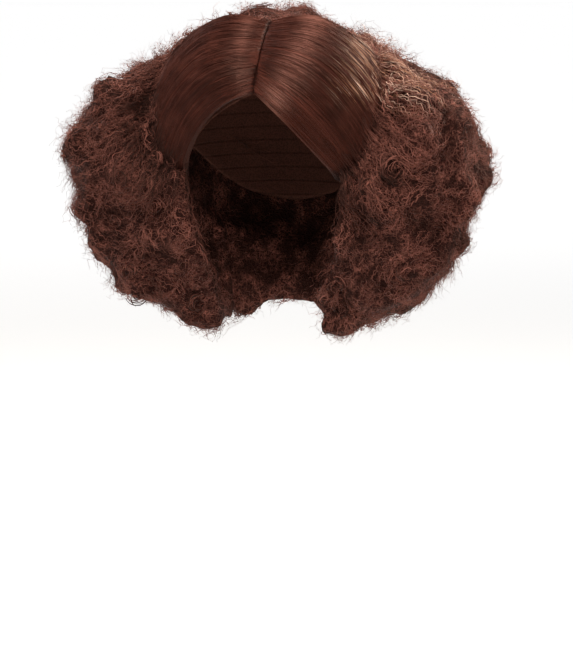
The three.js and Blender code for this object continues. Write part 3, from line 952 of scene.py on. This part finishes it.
def wound(centre, normal, ring, thick, count, points, rng):
    """Strands wound side by side into a ring: their paths, radii, tones and painted shade."""
    across = unit(np.cross((0, 0, 1), normal))
    up = np.cross(normal, across)
    spin = rng.random((count, 1)) * 2 * math.pi
    lie = np.sqrt(rng.uniform(0.15, 1, (count, 1)))
    along = np.linspace(0, 1, points)[None, :]
    angle = rng.random((count, 1)) * 2 * math.pi + rng.uniform(1.2, 3.4, (count, 1)) * along
    drift = rng.normal(0, 0.9, (count, 1)) * (along - 0.5)
    radius = ring + thick * (lie * np.cos(spin) + 0.1 * np.sin(angle * 4 + spin) + drift)
    height = thick * (lie * np.sin(spin) + 0.12 * np.sin(angle * 5 - spin))
    height = height + thick * rng.random((count, 1)) * (2 * along - 1) ** 6 * 0.6
    paths = centre + radius[..., None] * (np.cos(angle)[..., None] * across + np.sin(angle)[..., None] * up)
    paths = paths + height[..., None] * normal
    radii = CURL_STRAND_RADIUS * (1 - 0.6 * (2 * along - 1) ** 4) * rng.uniform(0.5, 1.2, (count, 1))
    tone = rng.random((count, 1)) + 0 * along
    # painted shade: darker inside the bundle and on the ring's lower half, painted light on its top
    painted_shade_depth = rng.uniform(0.05, 1, (count, 1)) * np.clip(0.35 + lie * (0.5 + 0.5 * np.sin(angle)), 0, 1)
    return paths, radii, tone, painted_shade_depth


def rolled_curl(node, count, points, rng, looks):
    """A lock rolled into a ring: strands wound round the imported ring, which is drawn in under them."""
    body = copy_of_node(node, node + "_body")
    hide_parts(node)
    finish_hair(body, looks["frizz"])
    places = corners_of(body.data)
    # painted shade: the curl's body under its strands is darkened as if it were a hollow
    give_numbers(body.data, "hollow", np.full(len(places), 0.8))
    centre = (places.min(0) + places.max(0)) / 2
    normal = heading_at(CURL_FACING, 0)
    offset = places - centre
    reach = np.linalg.norm(offset - (offset @ normal)[:, None] * normal, axis=1)
    ring, thick = (reach.max() + reach.min()) / 2, (reach.max() - reach.min()) / 2
    set_corners(body.data, centre + drawn_in(offset, normal, ring))
    paths, radii, tone, painted_shade_depth = wound(centre, normal, ring, thick, count, points, rng)
    hair = strand_mesh(node + "_strands", paths, radii, {"tone": tone, "painted_shade_depth": painted_shade_depth, "painted_glint": 0 * painted_shade_depth})
    finish_hair(hair, looks["strand"])


def drawn_in(offset, normal, ring):
    """Corners of a ring, drawn in towards its middle circle."""
    height = (offset @ normal)[:, None] * normal
    level = offset - height
    circle = unit(level) * ring
    return circle + (level + height - circle) * CURL_BODY


def ringlets(side, core, count, rng):
    """Small wound locks on the side of the mass that faces the wearer's cheek."""

    def by_the_face(centres, normals):
        toward = unit(centres - np.array(HEAD_CENTRE))
        azimuth = np.abs(np.degrees(np.arctan2(toward[:, 0], -toward[:, 1])))
        return (azimuth < 72) * (toward[:, 2] < -0.1) * np.clip(-normals[:, 1], 0, 1) ** 2 + LEAST

    centres, normals = spread_over(core, count, rng, by_the_face)
    sets = []
    for centre, normal in zip(centres, normals):
        facing = unit(normal + heading_at(rng.uniform(-50, 50), rng.uniform(-30, 40)) * 0.8)
        ring = rng.uniform(*RINGLET_RING)
        place = centre + normal * 0.001
        thick = ring * RINGLET_THICKNESS
        sets.append(wound(place, facing, ring, thick, RINGLET_STRANDS, RINGLET_POINTS, rng))
    paths, radii, tone, painted_shade_depth = (np.concatenate(values) for values in zip(*sets))
    numbers = {"tone": tone, "painted_shade_depth": painted_shade_depth, "painted_glint": 0 * painted_shade_depth}
    return strand_mesh(f"side_curls_{side}_ringlets", paths, radii, numbers)


# Cap


def dress_cap(look):
    piece = copy_of_node("cap", "cap_knit")
    even = piece.modifiers.new("smooth", "SUBSURF")
    even.levels = 1
    even.render_levels = 1
    apply_modifiers(piece)
    piece.data.materials.append(look)
    piece.data.polygons.foreach_set("use_smooth", np.ones(len(piece.data.polygons), bool))
    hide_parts("cap")
    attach(piece, "root")


# Camera, lights and stage


def view_axes():
    right = Vector((math.cos(VIEW_AZIMUTH), math.sin(VIEW_AZIMUTH), 0))
    back = Vector(
        (
            math.sin(VIEW_AZIMUTH) * math.cos(VIEW_ELEVATION),
            -math.cos(VIEW_AZIMUTH) * math.cos(VIEW_ELEVATION),
            math.sin(VIEW_ELEVATION),
        )
    )
    return right, back.cross(right), back


def make_camera():
    right, up, back = view_axes()
    data = bpy.data.cameras.new("photo_camera")
    data.sensor_width = SENSOR_MM
    data.lens = SENSOR_MM * VIEW_DISTANCE / METRES_PER_PIXEL / PHOTO_HEIGHT
    camera = bpy.data.objects.new("photo_camera", data)
    bpy.context.scene.collection.objects.link(camera)
    camera.location = WIG_POINT + back * VIEW_DISTANCE
    aim = WIG_POINT + right * (PHOTO_WIDTH / 2 - WIG_PIXEL[0]) * METRES_PER_PIXEL
    aim -= up * (PHOTO_HEIGHT / 2 - WIG_PIXEL[1]) * METRES_PER_PIXEL
    camera.rotation_euler = (aim - camera.location).to_track_quat("-Z", "Y").to_euler()
    bpy.context.scene.camera = camera


def area_light(name, direction, distance, size, power, colour=(1, 1, 1)):
    data = bpy.data.lights.new(name, "AREA")
    data.size = size
    data.energy = power
    data.color = colour
    light = bpy.data.objects.new(name, data)
    bpy.context.scene.collection.objects.link(light)
    toward = Vector(heading_at(*direction))
    light.location = WIG_POINT + toward * distance
    light.rotation_euler = (-toward).to_track_quat("-Z", "Y").to_euler()


def make_stage():
    bpy.ops.mesh.primitive_plane_add(size=30, location=(0, 0, FLOOR_HEIGHT))
    floor = bpy.context.object
    floor.name = "floor"
    look = Look("pale floor")
    away = look.node("VectorMath", {"operation": "LENGTH"}, {0: look.place()}, "Value")
    glow = look.mix(look.ramp(away, 0.4, 5.0), (0.05, 0.05, 0.05), (0.62, 0.62, 0.62))
    look.set(Base_Color=(0.86, 0.86, 0.86), Roughness=0.9, Emission_Color=glow, Emission_Strength=1.0)
    floor.data.materials.append(look.material)
    world = bpy.data.worlds.new("studio")
    bpy.context.scene.world = world
    world.use_nodes = True
    tree = world.node_tree
    direction = tree.nodes.new("ShaderNodeTexCoord")
    height = tree.nodes.new("ShaderNodeSeparateXYZ")
    fade = tree.nodes.new("ShaderNodeMapRange")
    tree.links.new(direction.outputs["Generated"], height.inputs[0])
    tree.links.new(height.outputs["Z"], fade.inputs["Value"])
    for name, value in (("From Min", 0.1), ("From Max", 0.5), ("To Min", 1.0), ("To Max", 0.35)):
        fade.inputs[name].default_value = value
    tree.links.new(fade.outputs[0], tree.nodes["Background"].inputs["Strength"])
    tree.nodes["Background"].inputs["Color"].default_value = (1, 1, 1, 1)
    bpy.context.scene.view_settings.view_transform = "Standard"
    area_light("key", (14, 52), 1.8, 0.7, 62, (1, 0.95, 0.9))
    area_light("fill", (-50, 28), 2.0, 1.4, 22)
    area_light("fill right", (75, 25), 2.0, 1.2, 10)
    area_light("rim", (132, 42), 1.6, 0.5, 60, (1, 0.9, 0.78))
    area_light("rim right", (-130, 35), 1.8, 0.6, 13)


def main():
    rng = np.random.default_rng(SEED)
    deselect()
    make_camera()
    make_stage()
    looks = {
        "frizz": frizz_look("frizzed hair"),
        "strand": strand_look("frizzed strands", HAIR, LIT_HAIR, 0.5, 0.12),
        "combed": combed_look("combed hair"),
        "combed strand": strand_look("combed strands", SMOOTH_HAIR, LIT_SMOOTH_HAIR, 0.36, 0.08),
        "cap": cap_look("cap knit"),
    }
    amount = 1
    dress_cap(looks["cap"])
    masses = []
    for node, lying, flyaway in (
        ("side_curls_left", 1400, 2950),
        ("side_curls_right", 1400, 2950),
        ("back_curls", 1300, 2000),
        ("crown_curls", 550, 1100),
    ):
        masses.append(dress_frizz(node, int(lying * amount), int(flyaway * amount), rng, looks))
    wings = [dress_wing(side, int(340 * amount), 14, rng, looks) for side in ("left", "right")]
    for side, body in zip(("left", "right"), wings):
        for name, kind, number in (("frizz", LYING, 340), ("flyaways", FLYAWAY, 240)):
            count = int(number * amount)
            hair = frizz(f"swept_wing_{side}_{name}", body, kind, count, 8, rng, wing_rear(body))
            finish_hair(hair, looks["strand"])
    places, faces = shell_of(masses + wings)
    surface = BVHTree.FromPolygons(places, faces)
    cover = bridged(places, faces)
    bridge = surface_of(cover)
    hair = frizz("frizz_between", cover, LYING, int(400 * amount), 8, rng, over_gaps(surface))
    finish_hair(hair, looks["strand"])
    hair = frizz("loose_tufts", cover, TUFT, int(600 * amount), 11, rng, near_spots)
    finish_hair(hair, looks["strand"])
    bpy.data.objects.remove(cover)
    for side, core in (("left", masses[0]), ("right", masses[1])):
        finish_hair(tails(side, bridge, surface, int(300 * amount), 17, rng), looks["strand"])
        finish_hair(ringlets(side, core, int(10 * amount), rng), looks["strand"])
    rolled_curl("rolled_curl_temple", int(130 * amount), 17, rng, looks)
    rolled_curl("rolled_curl_cheek", int(70 * amount), 13, rng, looks)
    nodes["parting_strip"].material_slots[0].material = looks["cap"]


main()
